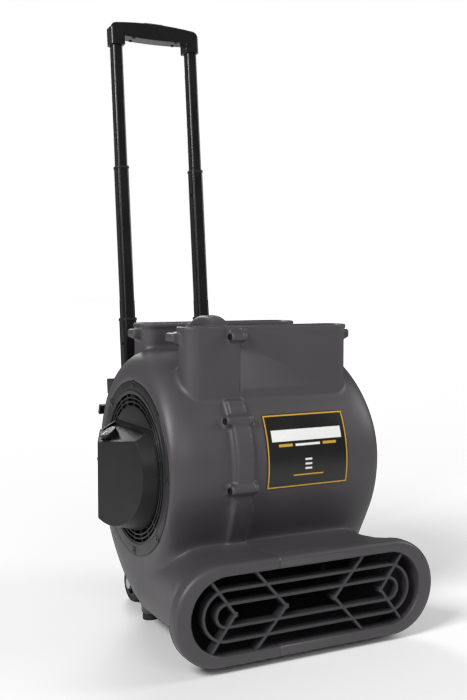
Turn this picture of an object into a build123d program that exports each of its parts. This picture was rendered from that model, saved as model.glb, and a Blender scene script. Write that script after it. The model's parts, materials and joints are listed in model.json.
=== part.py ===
from build123d import *

import os
from math import atan2, cos, degrees, hypot, radians, sin, tan

# Centrifugal air mover on two small wheels with a telescopic trolley handle.
# Millimetres, +Z up, outlet towards -Y, motor and control hub towards -X.
# The origin is on the floor, under the middle of the object's box.

# Outlet flange and duct
flange_width = 440.0
flange_height = 147.0
flange_lift = 8.5
flange_depth = 22.0
flange_edge = 7.0
mouth_width = 389.0
mouth_height = 113.0
duct_low = 12.0
duct_high = 148.0
wall = 3.5

# Scroll drum, as radii about the fan axis
fan_z = 257.0
front_reach = 240.0
drum_width = 365.0
eye_radius = 141.0
shoulder_width = 48.0
cutoff_radius = 154.0
top_radius = 184.0
back_radius = 189.0
bottom_radius = 245.0

# Stacking towers on top, lip, ears and carry handle
tower_width = 286.0
tower_corner = 22.0
tower_top = 476.0
tower_foot = 300.0
front_tower_front = -117.0
front_tower_back = -66.0
rear_tower_front = 46.0
rear_tower_back = 108.0
lip_height = 5.0
lip_overhang = 2.0
lip_width = 5.0
ear_width = 27.0
ear_reach = 15.0
ear_height = 20.0
ear_drop = 4.0
carry_width = 32.0
carry_thickness = 25.0
carry_peak = 495.0
carry_shoulder = 470.0

# Seam between the two housing halves
seam_offset = -54.5
rib_left = 28.0
rib_right = 1.0
rib_height = 8.0
rib_top = 378.0
rib_bottom = 140.0
boss_radius = 8.0
boss_left = 38.0
boss_right = 8.0
screw_radius = 2.5
screw_head_radius = 4.5
screw_head_height = 3.0

# Outlet grille
bar = 4.0
grille_depth = 16.0
grille_set_back = 4.0
ring_steps = (20.0, 40.0)
chevrons = ((-124.5, 42.0), (-41.3, 50.0), (41.3, 50.0), (124.5, 42.0))

# Label
label_left = -27.5
label_width = 145.0
label_low = 234.0
label_high = 346.0
label_thickness = 0.8

# Inlets
grille_radius = 137.0
grille_thickness = 3.0
eye_ring_depth = 8.0
inlet_radius = 127.0
rim_inner_radius = 116.0
ring_width = 2.0
ring_pitch = 6.0
rib_count = 24
rib_depth = 5.0
small_screw = 2.0
small_head = 4.0
hub_plate_radius = 98.0
hub_plate_hole = 25.0
cone_throat = 100.0
cone_depth = 28.0
sheet = 2.0
fit_gap = 0.3

# Control hub
hub_reach = 232.0
hub_tip_radius = 84.0
hub_edge_offset = 26.0
hub_face_angle = 13.4
hub_back_angle = 24.0
panel_angle = 30.0
panel_height = 40.0
panel_recess = 7.0
panel_rim = 5.0
panel_thickness = 2.5
hub_wall = 3.0
knob_radius = 14.0
knob_height = 11.0
knob_grooves = 24
knob_across = 24.0
knob_down = 22.0
knob_lift = 0.3
pointer_length = 11.0
knob_stem_radius = 3.0
switch_size = 22.0
switch_depth = 16.0
capacitor_radius = 15.0
capacitor_length = 34.0
capacitor_drop = 45.0
running_gap = 0.05

# Motor and blower
motor_radius = 64.0
motor_length = 92.0
motor_wall = 2.0
mount_thickness = 3.0
stator_inner = 38.0
stator_length = 50.0
rotor_gap = 0.5
shaft_radius = 8.0
bearing_radius = 16.0
bearing_width = 9.0
bearing_boss = 4.0
blower_radius = 112.0
blower_inner = 95.0
blower_width = 286.0
blade_count = 36
blade_thickness = 1.8
blade_pitch = 35.0
blower_ring = 3.0
disc_thickness = 3.0
boss_outer = 17.0
boss_length = 40.0

# Trolley handle
handle_offset = -23.5
tube_spacing = 148.0
lean = 5.6
handle_standoff = 12.0
socket_z = 480.0
outer_tube = 25.4
middle_tube = 22.4
inner_tube = 19.4
tube_wall = 1.1
tube_corner = 5.0
outer_length = 300.0
middle_exposed = 275.0
inner_exposed = 225.0
tube_overlap = 25.0
collar_height = 4.0
collar_skin = 0.8
guide_height = 6.0
nub_radius = 2.5
nub_height = 2.0
nub_drop = 42.0
upper_bracket_drop = 117.0
upper_bracket_width = 226.0
upper_bracket_depth = 82.0
lower_bracket_drop = 266.0
lower_bracket_width = 200.0
lower_bracket_depth = 36.0
bracket_height = 26.0
bracket_back = 6.0
bracket_arm = 34.0

# Grip, release button and rods
grip_leg = 26.0
grip_leg_height = 39.0
grip_arch = 6.0
grip_bar = 23.0
grip_belly = 2.0
grip_round = 4.0
grip_split = 22.0
grip_floor = 15.0
button_width = 38.0
button_depth = 14.0
button_rise = 2.0
button_travel = 4.0
rod_radius = 2.0
link_thickness = 3.0
spring_radius = 3.5
spring_wire = 0.5
spring_pitch = 1.5

# Cord hooks and gland
hook_angles = (161.0, 204.0)
hook_width = 16.0
hook_out = 22.0
hook_wing = 44.0
hook_thickness = 5.0
hook_inset = 61.0
gland_radius = 9.0
gland_length = 14.0
gland_bore = 4.0
gland_inset = 14.0

# Wheels and feet
axle_z = 31.0
axle_offset = 130.0
axle_radius = 5.0
road_radius = 31.0
rim_radius = 22.0
road_width = 22.0
track_outer = 138.0
lug_gap = 9.0
lug_thickness = 10.0
cap_thickness = 4.0
foot_radius = 12.0
foot_height = 10.0
foot_half_track = 142.0
rear_foot_offset = 32.0
front_foot_offset = -180.0

# Places that follow from the sizes above
handle_sin = sin(radians(lean))
handle_cos = cos(radians(lean))
handle_tan = tan(radians(lean))
grip_depth = grip_leg
handle_at_fan = back_radius + handle_standoff + outer_tube / 2
grip_rise = middle_exposed + inner_exposed + grip_leg_height + grip_arch
back_reach = (
    handle_at_fan + (socket_z - fan_z) * handle_tan + grip_rise * handle_sin + grip_depth / 2 * handle_cos
)
duct_x = (hub_reach - flange_width / 2) / 2
fan_y = (front_reach - back_reach) / 2
front_y = fan_y - front_reach
flange_z = flange_lift + flange_height / 2
drum_left = duct_x - drum_width / 2
drum_right = duct_x + drum_width / 2
seam_x = duct_x + seam_offset
handle_x = duct_x + handle_offset
handle_y = fan_y + handle_at_fan + (socket_z - fan_z) * handle_tan
axle_y = fan_y + axle_offset
grille_screw_circle = (grille_radius + inlet_radius) / 2
grille_screw_count = 8
mount_screw_circle = (hub_plate_radius + motor_radius) / 2 - 2
fan_axis = Axis((0, fan_y, fan_z), (1, 0, 0))
fan_section = Plane(origin=(0, fan_y, fan_z), x_dir=(1, 0, 0), z_dir=(0, -1, 0))

os.makedirs("parts", exist_ok=True)


def finish(builder, label):
    """Labels a finished piece and writes its STEP file."""
    builder.part.label = label
    export_step(builder.part, "parts/" + label + ".step")


def across(x):
    """Plane across the fan axis at x: its first axis is +Y, its second +Z."""
    return Plane.YZ.offset(x)


def facing_front(y):
    """Upright plane at y that faces the front: its first axis is +X, its second +Z."""
    return Plane.XZ.offset(-y)


def along_handle(distance):
    """Plane square to the handle tubes, a distance above the outer tubes' mouths."""
    origin = (handle_x, handle_y + distance * handle_sin, socket_z + distance * handle_cos)
    return Plane(origin=origin, x_dir=(1, 0, 0), z_dir=(0, handle_sin, handle_cos))


def scroll_radii():
    """Scroll radius at each angle, from the front over the top to the bottom and back to the front."""
    lower_back = (back_radius + bottom_radius) / 2
    return [
        (0, cutoff_radius),
        (45, (cutoff_radius + top_radius) / 2 - 6),
        (90, top_radius),
        (135, (top_radius + back_radius) / 2 + 1),
        (180, back_radius),
        (225, lower_back - 8),
        (270, bottom_radius),
        (295, lower_back - 12),
        (325, cutoff_radius + 2),
        (360, cutoff_radius),
    ]


def polar(angle, radius):
    """Point (y, z) at an angle and radius about the fan axis."""
    return (fan_y - radius * cos(radians(angle)), fan_z + radius * sin(radians(angle)))


def scroll_surface(angle, grow):
    """Point (y, z) close to the scroll's surface at an angle, moved out by grow."""
    radii = scroll_radii()
    for (low, near), (high, far) in zip(radii, radii[1:]):
        if low <= angle % 360 <= high:
            return polar(angle, near + (far - near) * (angle % 360 - low) / (high - low) + grow)


def scroll_points(grow, eye, share):
    """Points of the scroll outline, grown, and drawn in towards the round eye when share is under 1."""
    return [polar(angle, eye + (full + grow - eye) * share) for angle, full in scroll_radii()[:-1]]


def scroll_slab(x, width, grow):
    """Straight slab of the scroll outline, from x."""
    with BuildPart() as slab:
        with BuildSketch(across(x)):
            with BuildLine():
                Spline(*scroll_points(grow, 0, 1), periodic=True)
            make_face()
        extrude(amount=width)
    return slab.part


def scroll_form(inset):
    """Scroll drum with soft shoulders that run from the round eye to the full outline."""
    depth = shoulder_width - inset
    with BuildPart() as form:
        for face, inward in ((drum_left + inset, 1), (drum_right - inset, -1)):
            for angle in (0, 30, 60, 90):
                x = face + inward * depth * (1 - cos(radians(angle)))
                with BuildSketch(across(x)):
                    with BuildLine():
                        Spline(*scroll_points(-inset, eye_radius, sin(radians(angle))), periodic=True)
                    make_face()
            loft()
        add(scroll_slab(drum_left + shoulder_width, drum_width - 2 * shoulder_width, -inset))
    return form.part


def duct_form(stations):
    """Duct lofted through rounded rectangles at (y, width, low, high, corner)."""
    with BuildPart() as form:
        for y, width, low, high, corner in stations:
            with BuildSketch(facing_front(y)):
                with Locations((duct_x, (low + high) / 2)):
                    RectangleRounded(width, high - low, corner)
        loft(ruled=True)
    return form.part


def tower_form(front, back, inset):
    """Rounded stacking tower that rises out of the scroll."""
    with BuildPart() as form:
        with BuildSketch(Plane.XY.offset(tower_foot)):
            with Locations((duct_x, fan_y + (front + back) / 2)):
                RectangleRounded(tower_width - 2 * inset, back - front - 2 * inset, tower_corner - inset)
        extrude(amount=tower_top - tower_foot - inset)
    return form.part


def ear(side, y):
    """Stacking ear at one top corner of a tower, tapering back into the wall."""
    root = duct_x + side * (tower_width / 2 - 2)
    tip = duct_x + side * (tower_width / 2 + ear_reach)
    top = tower_top - ear_drop
    with BuildPart() as form:
        with BuildSketch(facing_front(y + ear_width / 2)):
            with BuildLine():
                Polyline(
                    (root, top - ear_height),
                    (tip, top - ear_height * 0.6),
                    (tip, top - 2),
                    (tip - side * 2, top),
                    (root, top),
                    close=True,
                )
            make_face()
        extrude(amount=ear_width)
    return form.part


towers = [(front_tower_front, front_tower_back), (rear_tower_front, rear_tower_back)]
feet_at = [(-1, rear_foot_offset), (1, rear_foot_offset), (-1, front_foot_offset), (1, front_foot_offset)]
flange_high = flange_lift + flange_height
mouth_low = flange_z - mouth_height / 2
mouth_high = flange_z + mouth_height / 2
outer_stations = [
    (fan_y, drum_width - 4, duct_low, duct_high, 55),
    (fan_y - 110, drum_width - 2, duct_low, duct_high, 55),
    (front_y + 85, drum_width + 2, duct_low - 1, duct_high + 1, 58),
    (front_y + 50, drum_width + 26, duct_low - 2, duct_high + 3, 64),
    (front_y + flange_depth, flange_width - 8, flange_lift + 1, flange_high - 1, 71),
]
inner_stations = [
    (y, width - 2 * wall, low + wall, high - wall, corner - wall)
    for y, width, low, high, corner in outer_stations[:-1]
]
inner_stations.append((front_y + flange_depth, mouth_width, mouth_low, mouth_high, 56))
inner_stations.append((front_y - 1, mouth_width, mouth_low, mouth_high, 56))
upper_boss = scroll_surface(31, 5)
lower_boss = scroll_surface(-6, 5)
back_boss = scroll_surface(160, 3)
seam_bosses = [
    (*upper_boss, boss_left),
    (*lower_boss, boss_left),
    (*back_boss, boss_left / 2),
    (fan_y + front_tower_front - 5, tower_top - 10, boss_left / 2),
    (fan_y + rear_tower_back + 5, tower_top - 10, boss_left / 2),
]

# Scroll, duct and flange as one shell
with BuildPart() as air_shell:
    add(scroll_form(0))
    add(duct_form(outer_stations))
    with BuildSketch(facing_front(front_y + flange_depth)):
        with Locations((duct_x, flange_z)):
            RectangleRounded(flange_width, flange_height, flange_height / 2 - 0.5)
    extrude(amount=flange_depth)
    rim_edges = air_shell.edges().filter_by_position(Axis.Y, front_y - 0.1, front_y + 0.1)
    fillet(rim_edges, flange_edge)
    add(scroll_form(wall), mode=Mode.SUBTRACT)
    add(duct_form(inner_stations), mode=Mode.SUBTRACT)

# Hollow stacking towers, with a lip round the top and an ear at each corner
with BuildPart() as tower_shells:
    for tower_front, tower_back in towers:
        add(tower_form(tower_front, tower_back, 0))
        with BuildSketch(Plane.XY.offset(tower_top)):
            with Locations((duct_x, fan_y + (tower_front + tower_back) / 2)):
                RectangleRounded(
                    tower_width + 2 * lip_overhang, tower_back - tower_front + 2 * lip_overhang, tower_corner
                )
                RectangleRounded(
                    tower_width - 2 * lip_width,
                    tower_back - tower_front - 2 * lip_width,
                    tower_corner - lip_width,
                    mode=Mode.SUBTRACT,
                )
        extrude(amount=lip_height)
    for side in (-1, 1):
        add(ear(side, fan_y + front_tower_front + tower_corner + ear_width / 2))
        add(ear(side, fan_y + rear_tower_back - tower_corner - ear_width / 2))
    for tower_front, tower_back in towers:
        add(tower_form(tower_front, tower_back, wall), mode=Mode.SUBTRACT)
    add(scroll_form(wall / 2), mode=Mode.SUBTRACT)

# Carry handle: an arch along the seam from one tower to the other
carry_front = fan_y + front_tower_back - 5
carry_back = fan_y + rear_tower_front + 5
carry_mid = (carry_front + carry_back) / 2
with BuildPart() as carry_arch:
    with BuildSketch(across(seam_x - carry_width / 2)):
        with BuildLine():
            top_curve = ThreePointArc(
                (carry_front, carry_shoulder), (carry_mid, carry_peak), (carry_back, carry_shoulder)
            )
            low_curve = ThreePointArc(
                (carry_front, carry_shoulder - carry_thickness),
                (carry_mid, carry_peak - carry_thickness),
                (carry_back, carry_shoulder - carry_thickness),
            )
            Line(top_curve @ 0, low_curve @ 0)
            Line(top_curve @ 1, low_curve @ 1)
        make_face()
    extrude(amount=carry_width)
    fillet(carry_arch.edges().filter_by(GeomType.CIRCLE), 8)

# Clamping rib that follows the scroll along the seam, with its screw bosses
with BuildPart() as seam_rib:
    add(scroll_slab(seam_x - rib_left, rib_left + rib_right, rib_height))
    with BuildSketch(across(seam_x - rib_left)):
        with BuildLine():
            Polyline(
                (fan_y - cutoff_radius - 40, rib_bottom),
                (fan_y - cutoff_radius - 40, rib_top),
                (fan_y - cutoff_radius + 40, rib_top - 8),
                (fan_y - cutoff_radius + 60, rib_bottom),
                close=True,
            )
        make_face()
    extrude(amount=rib_left + rib_right, mode=Mode.INTERSECT)
    add(scroll_form(wall / 2), mode=Mode.SUBTRACT)

with BuildPart() as bosses:
    for boss_y, boss_z, reach in seam_bosses:
        with BuildSketch(across(seam_x - reach)):
            with Locations((boss_y, boss_z)):
                Circle(boss_radius)
        extrude(amount=reach + boss_right)

# Axle lugs under the back of the scroll
lug_x = track_outer - road_width - lug_gap - lug_thickness / 2
with BuildPart() as axle_lugs:
    for side in (-1, 1):
        with BuildSketch(across(duct_x + side * lug_x - lug_thickness / 2)):
            with Locations((axle_y, axle_z + 30)):
                Rectangle(28, 60)
            with Locations((axle_y, axle_z)):
                Circle(14)
        extrude(amount=lug_thickness)
    add(scroll_form(wall / 2), mode=Mode.SUBTRACT)

# Pads that carry the feet
with BuildPart() as foot_pads:
    with BuildSketch(Plane.XY.offset(foot_height)):
        for side, offset_y in feet_at:
            with Locations((duct_x + side * foot_half_track, fan_y + offset_y)):
                Circle(foot_radius + 2)
    extrude(amount=2 * foot_height)
    add(scroll_form(wall / 2), mode=Mode.SUBTRACT)
    add(duct_form(inner_stations), mode=Mode.SUBTRACT)

with BuildPart() as moulding:
    add(air_shell.part)
    add(foot_pads.part)
    add(tower_shells.part)
    add(seam_rib.part)
    add(bosses.part)
    add(axle_lugs.part)
    add(carry_arch.part)
    for face, inward in ((drum_left, 1), (drum_right, -1)):
        with BuildSketch(across(face)):
            with Locations((fan_y, fan_z)):
                Circle(eye_radius - 1)
        extrude(amount=inward * eye_ring_depth)
        with BuildSketch(across(face)):
            with Locations((fan_y, fan_z)):
                Circle(inlet_radius)
        extrude(amount=inward * (eye_ring_depth + 1), mode=Mode.SUBTRACT)
        with BuildSketch(across(face)):
            with Locations((fan_y, fan_z)):
                Circle(grille_radius + fit_gap)
        extrude(amount=inward * grille_thickness, mode=Mode.SUBTRACT)
        with BuildSketch(across(face)):
            with Locations((fan_y, fan_z)):
                with PolarLocations(grille_screw_circle, grille_screw_count):
                    Circle(small_screw)
        extrude(amount=inward * (eye_ring_depth + 1), mode=Mode.SUBTRACT)
    for boss_y, boss_z, reach in seam_bosses:
        with BuildSketch(across(seam_x - reach)):
            with Locations((boss_y, boss_z)):
                Circle(screw_radius)
        extrude(amount=reach + boss_right - 3, mode=Mode.SUBTRACT)
    with BuildSketch(Plane.XY.offset(foot_height)):
        for side, offset_y in feet_at:
            with Locations((duct_x + side * foot_half_track, fan_y + offset_y)):
                Circle(small_screw)
    extrude(amount=foot_height, mode=Mode.SUBTRACT)
    with BuildSketch(across(duct_x - lug_x - 10)):
        with Locations((axle_y, axle_z)):
            Circle(axle_radius)
    extrude(amount=2 * lug_x + 20, mode=Mode.SUBTRACT)

with BuildPart() as housing_left:
    add(moulding.part)
    split(bisect_by=across(seam_x), keep=Keep.BOTTOM)
finish(housing_left, "housing_left")

with BuildPart() as housing_right:
    add(moulding.part)
    split(bisect_by=across(seam_x), keep=Keep.TOP)
finish(housing_right, "housing_right")

# Screws along the fan axis that clamp the two halves at their bosses
with BuildPart() as seam_screws:
    for boss_y, boss_z, reach in seam_bosses:
        with BuildSketch(across(seam_x - reach - screw_head_height)):
            with Locations((boss_y, boss_z)):
                Circle(screw_head_radius)
                RegularPolygon(1.6, 6, mode=Mode.SUBTRACT)
        extrude(amount=screw_head_height)
        with BuildSketch(across(seam_x - reach)):
            with Locations((boss_y, boss_z)):
                Circle(screw_radius)
        extrude(amount=reach + boss_right - 3)
finish(seam_screws, "seam_screws")

# Outlet grille: two racetrack rings and four chevron bars
with BuildPart() as outlet_grille:
    with BuildSketch(facing_front(front_y + grille_set_back + grille_depth)):
        with Locations((duct_x, flange_z)):
            for step in ring_steps:
                SlotOverall(mouth_width - 2 * step + bar, mouth_height - 2 * step + bar)
                SlotOverall(mouth_width - 2 * step - bar, mouth_height - 2 * step - bar, mode=Mode.SUBTRACT)
        for apex, run in chevrons:
            outward = run if apex > 0 else -run
            for rise in (-mouth_height / 2, mouth_height / 2):
                with Locations((duct_x + apex + outward / 2, flange_z + rise / 2)):
                    Rectangle(hypot(run, rise) + 2 * bar, bar, rotation=degrees(atan2(rise, outward)))
    extrude(amount=grille_depth)
    with BuildSketch(facing_front(front_y + grille_set_back + grille_depth)):
        with Locations((duct_x, flange_z)):
            SlotOverall(mouth_width, mouth_height)
    extrude(amount=grille_depth, mode=Mode.INTERSECT)
finish(outlet_grille, "outlet_grille")

# Label plate, bent round the front of the scroll
label_x = duct_x + label_left
with BuildPart() as label_plate:
    add(scroll_slab(label_x, label_width, label_thickness))
    with BuildSketch(facing_front(fan_y - cutoff_radius / 2)):
        with Locations((label_x + label_width / 2, (label_low + label_high) / 2)):
            RectangleRounded(label_width, label_high - label_low, 3)
    extrude(amount=cutoff_radius, mode=Mode.INTERSECT)
    add(scroll_slab(label_x - 1, label_width + 2, 0), mode=Mode.SUBTRACT)
finish(label_plate, "label_plate")


def turned(points):
    """Piece turned about the fan axis from (x, radius) points."""
    with BuildPart() as piece:
        with BuildSketch(fan_section):
            with BuildLine():
                Polyline(*points, close=True)
            make_face()
        revolve(axis=fan_axis)
    return piece


def washer(x, width, outer, inner):
    """Turned ring on the fan axis, from x, width long."""
    return turned([(x, inner), (x + width, inner), (x + width, outer), (x, outer)])


def inlet_grille(face, inward, plate_radius, hole_radius):
    """Round inlet grille: screwed rim, concentric rings, radial ribs behind them and a centre plate."""
    back = grille_thickness + rib_depth
    with BuildPart() as grille:
        with BuildSketch(across(face)):
            with Locations((fan_y, fan_z)):
                Circle(grille_radius)
                Circle(rim_inner_radius, mode=Mode.SUBTRACT)
                radius = rim_inner_radius - ring_pitch
                while radius > plate_radius + ring_width:
                    Circle(radius)
                    Circle(radius - ring_width, mode=Mode.SUBTRACT)
                    radius -= ring_pitch
                Circle(plate_radius)
                Circle(hole_radius, mode=Mode.SUBTRACT)
                with PolarLocations(grille_screw_circle, grille_screw_count):
                    Circle(small_screw, mode=Mode.SUBTRACT)
        extrude(amount=inward * grille_thickness)
        with BuildSketch(across(face + inward * grille_thickness / 2)):
            with Locations((fan_y, fan_z)):
                reach = rim_inner_radius + 2 - plate_radius
                with PolarLocations(plate_radius + reach / 2 - 1, rib_count):
                    Rectangle(reach, ring_width)
        extrude(amount=inward * (back - grille_thickness / 2))
    return grille


# Left inlet grille carries the motor and hub; the right one is all rings
with BuildPart() as left_grille:
    add(inlet_grille(drum_left, 1, hub_plate_radius, hub_plate_hole).part)
    with BuildSketch(across(drum_left)):
        with Locations((fan_y, fan_z)):
            with PolarLocations(mount_screw_circle, 3, start_angle=30):
                Circle(small_screw)
    extrude(amount=grille_thickness, mode=Mode.SUBTRACT)
finish(left_grille, "inlet_grille_left")
right_grille = inlet_grille(drum_right, -1, 22, 6)
finish(right_grille, "inlet_grille_right")

with BuildPart() as inlet_grille_screws:
    for face, outward in ((drum_left, -1), (drum_right, 1)):
        with BuildSketch(across(face)):
            with Locations((fan_y, fan_z)):
                with PolarLocations(grille_screw_circle, grille_screw_count):
                    Circle(small_head)
        extrude(amount=outward * 1.5)
        with BuildSketch(across(face)):
            with Locations((fan_y, fan_z)):
                with PolarLocations(grille_screw_circle, grille_screw_count):
                    Circle(small_screw)
        extrude(amount=-outward * eye_ring_depth)
finish(inlet_grille_screws, "inlet_grille_screws")

# Inlet cones guide the air into the blower's eyes
with BuildPart() as inlet_cones:
    for face, inward in ((drum_left + eye_ring_depth, 1), (drum_right - eye_ring_depth, -1)):
        with BuildSketch(fan_section):
            with BuildLine():
                outer_curve = ThreePointArc(
                    (face, inlet_radius),
                    (face + inward * cone_depth * 0.3, cone_throat + cone_depth * 0.3),
                    (face + inward * cone_depth, cone_throat),
                )
                Line(outer_curve @ 1, (face + inward * cone_depth, cone_throat - sheet))
                inner_curve = ThreePointArc(
                    (face + inward * cone_depth, cone_throat - sheet),
                    (face + inward * (cone_depth * 0.3 - sheet), cone_throat + cone_depth * 0.3 - sheet),
                    (face, inlet_radius - 2 * sheet),
                )
                Line(inner_curve @ 1, outer_curve @ 0)
            make_face()
            with Locations((face + inward * sheet / 2, inlet_radius + 2)):
                Rectangle(sheet, 16)
        revolve(axis=fan_axis)
finish(inlet_cones, "inlet_cones")

# Motor: mount, can, end brackets, bearings and stator
mount_x = drum_left + grille_thickness
can_x = mount_x + mount_thickness
with BuildPart() as motor_mount:
    add(washer(mount_x, mount_thickness, hub_plate_radius - 4, hub_plate_hole).part)
    with BuildSketch(across(mount_x)):
        with Locations((fan_y, fan_z)):
            with PolarLocations(mount_screw_circle, 3, start_angle=30):
                Circle(small_screw)
    extrude(amount=mount_thickness, mode=Mode.SUBTRACT)
finish(motor_mount, "motor_mount")
motor_can = washer(can_x, motor_length, motor_radius, motor_radius - motor_wall)
finish(motor_can, "motor_can")

bearing_places = (can_x, can_x + motor_length - bearing_width)
with BuildPart() as motor_end_brackets:
    for bearing_x in bearing_places:
        add(washer(bearing_x, bearing_width, bearing_radius + bearing_boss, bearing_radius).part)
        add(washer(bearing_x + 3, 3, motor_radius - motor_wall, bearing_radius).part)
finish(motor_end_brackets, "motor_end_brackets")

with BuildPart() as motor_bearings:
    for bearing_x in bearing_places:
        add(washer(bearing_x, bearing_width, bearing_radius, shaft_radius + running_gap).part)
finish(motor_bearings, "motor_bearings")

stator_x = can_x + (motor_length - stator_length) / 2
motor_stator = washer(stator_x, stator_length, motor_radius - motor_wall, stator_inner)
finish(motor_stator, "motor_stator")

with BuildPart() as motor_screws:
    with BuildSketch(across(drum_left)):
        with Locations((fan_y, fan_z)):
            with PolarLocations(mount_screw_circle, 3, start_angle=30):
                RegularPolygon(small_head, 6)
    extrude(amount=-screw_head_height)
    with BuildSketch(across(drum_left)):
        with Locations((fan_y, fan_z)):
            with PolarLocations(mount_screw_circle, 3, start_angle=30):
                Circle(small_screw)
    extrude(amount=grille_thickness + mount_thickness)
finish(motor_screws, "motor_screws")

# Blower body: rotor, shaft, squirrel-cage wheel and retainer
motor_rotor = washer(stator_x, stator_length, stator_inner - rotor_gap, shaft_radius)
finish(motor_rotor, "motor_rotor")
shaft_end = duct_x + boss_length / 2 + 8
motor_shaft = washer(can_x + 1, shaft_end - can_x - 1, shaft_radius, 0)
finish(motor_shaft, "motor_shaft")

blower_x = duct_x - blower_width / 2
blade_length = (blower_radius - blower_inner) / cos(radians(blade_pitch))
with BuildPart() as blower_wheel:
    add(washer(duct_x - boss_length / 2, boss_length, boss_outer, shaft_radius).part)
    add(washer(duct_x - disc_thickness / 2, disc_thickness, blower_radius, shaft_radius).part)
    with BuildSketch(across(blower_x)):
        with Locations((fan_y, fan_z)):
            with PolarLocations((blower_radius + blower_inner) / 2, blade_count):
                Rectangle(blade_length, blade_thickness, rotation=blade_pitch)
            Circle(blower_radius - 0.5, mode=Mode.INTERSECT)
            Circle(blower_inner + 0.5, mode=Mode.SUBTRACT)
    extrude(amount=blower_width)
    for ring_x in (blower_x, blower_x + blower_width - blower_ring):
        add(washer(ring_x, blower_ring, blower_radius, blower_inner).part)
finish(blower_wheel, "blower_wheel")
wheel_retainer = washer(duct_x + boss_length / 2, 4, shaft_radius + 6, shaft_radius)
finish(wheel_retainer, "wheel_retainer")

# Control hub: a short cone on the left inlet grille, cut by two slanted faces and a recessed control panel
hub_tip = duct_x - hub_reach
hub_face = Plane(
    origin=(hub_tip, fan_y + hub_edge_offset, fan_z),
    x_dir=(0, 0, 1),
    z_dir=(-cos(radians(hub_face_angle)), -sin(radians(hub_face_angle)), 0),
)
hub_back = Plane(
    origin=(hub_tip, fan_y + hub_edge_offset, fan_z),
    x_dir=(0, 0, 1),
    z_dir=(-cos(radians(hub_back_angle)), sin(radians(hub_back_angle)), 0),
)
panel_plane = Plane(
    origin=(hub_tip, fan_y, fan_z + panel_height),
    x_dir=(0, 1, 0),
    z_dir=(-sin(radians(panel_angle)), 0, cos(radians(panel_angle))),
)
panel_floor = panel_plane.offset(-panel_recess)
panel_top = panel_floor.offset(panel_thickness)
knob_at = (knob_across, -knob_down)


def hub_form(inset, base, drop):
    """Hub body drawn in by inset, from x = base, with its panel face lowered by drop."""
    with BuildPart() as form:
        with BuildSketch(fan_section):
            with BuildLine():
                Polyline(
                    (base, 0),
                    (base, hub_plate_radius - inset),
                    (hub_tip + inset, hub_tip_radius - inset),
                    (hub_tip + inset, 0),
                    close=True,
                )
            make_face()
        revolve(axis=fan_axis)
        split(bisect_by=hub_face.offset(-inset), keep=Keep.BOTTOM)
        split(bisect_by=hub_back.offset(-inset), keep=Keep.BOTTOM)
        split(bisect_by=panel_plane.offset(-drop), keep=Keep.BOTTOM)
    return form.part


with BuildPart() as panel_pocket:
    add(hub_form(panel_rim, drum_left - panel_rim, -2 * panel_recess))
    split(bisect_by=panel_floor, keep=Keep.TOP)

with BuildPart() as control_hub:
    add(hub_form(0, drum_left, 0))
    add(panel_pocket.part, mode=Mode.SUBTRACT)
    add(hub_form(hub_wall, drum_left + 1, panel_recess + hub_wall), mode=Mode.SUBTRACT)
    with BuildSketch(panel_plane):
        with Locations(knob_at):
            Circle(knob_stem_radius + 1)
    extrude(amount=-panel_recess - hub_wall - 1, mode=Mode.SUBTRACT)
    with BuildSketch(facing_front(fan_y)):
        with Locations((drum_left - gland_inset, fan_z)):
            Circle(gland_bore)
    extrude(amount=-hub_plate_radius, mode=Mode.SUBTRACT)
finish(control_hub, "control_hub")

with BuildPart() as control_panel:
    add(panel_pocket.part)
    split(bisect_by=panel_top, keep=Keep.BOTTOM)
    with BuildSketch(panel_plane):
        with Locations(knob_at):
            Circle(knob_stem_radius + running_gap)
    extrude(amount=-panel_recess, mode=Mode.SUBTRACT)
finish(control_panel, "control_panel")

with BuildPart() as speed_knob:
    with BuildSketch(panel_top.offset(knob_lift)):
        with Locations(knob_at):
            Circle(knob_radius)
    extrude(amount=knob_height)
    fillet(speed_knob.faces().sort_by(Axis((0, 0, 0), panel_top.z_dir))[-1].edges(), 1.5)
    with BuildSketch(panel_top.offset(knob_lift)):
        with Locations(knob_at):
            with PolarLocations(knob_radius + 0.4, knob_grooves):
                Circle(0.9)
    extrude(amount=knob_height, mode=Mode.SUBTRACT)
    with BuildSketch(panel_top.offset(knob_lift)):
        with Locations(knob_at):
            Circle(knob_stem_radius)
    extrude(amount=-knob_lift - panel_thickness - hub_wall - switch_depth / 2)
finish(speed_knob, "speed_knob")

with BuildPart() as knob_pointer:
    with BuildSketch(panel_top.offset(knob_lift + knob_height)):
        with Locations(knob_at):
            with Locations((0, pointer_length / 2)):
                RectangleRounded(2.4, pointer_length, 1)
    extrude(amount=0.6)
finish(knob_pointer, "knob_pointer")

with BuildPart() as rotary_switch:
    with BuildSketch(panel_floor.offset(-hub_wall)):
        with Locations(knob_at):
            Rectangle(switch_size, switch_size)
    extrude(amount=-switch_depth)
    with BuildSketch(panel_floor.offset(-hub_wall)):
        with Locations(knob_at):
            Circle(knob_stem_radius + running_gap)
    extrude(amount=-switch_depth / 2, mode=Mode.SUBTRACT)
finish(rotary_switch, "rotary_switch")

with BuildPart() as run_capacitor:
    with BuildSketch(facing_front(fan_y + capacitor_length)):
        with Locations((drum_left - capacitor_radius, fan_z - capacitor_drop)):
            Circle(capacitor_radius)
    extrude(amount=capacitor_length)
finish(run_capacitor, "run_capacitor")

with BuildPart() as cord_gland:
    with BuildSketch(facing_front(fan_y + hub_tip_radius)):
        with Locations((drum_left - gland_inset, fan_z)):
            Circle(gland_radius)
            Circle(gland_bore, mode=Mode.SUBTRACT)
    extrude(amount=-gland_length - gland_bore)
    add(hub_form(0, drum_left, 0), mode=Mode.SUBTRACT)
finish(cord_gland, "cord_gland")

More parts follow.
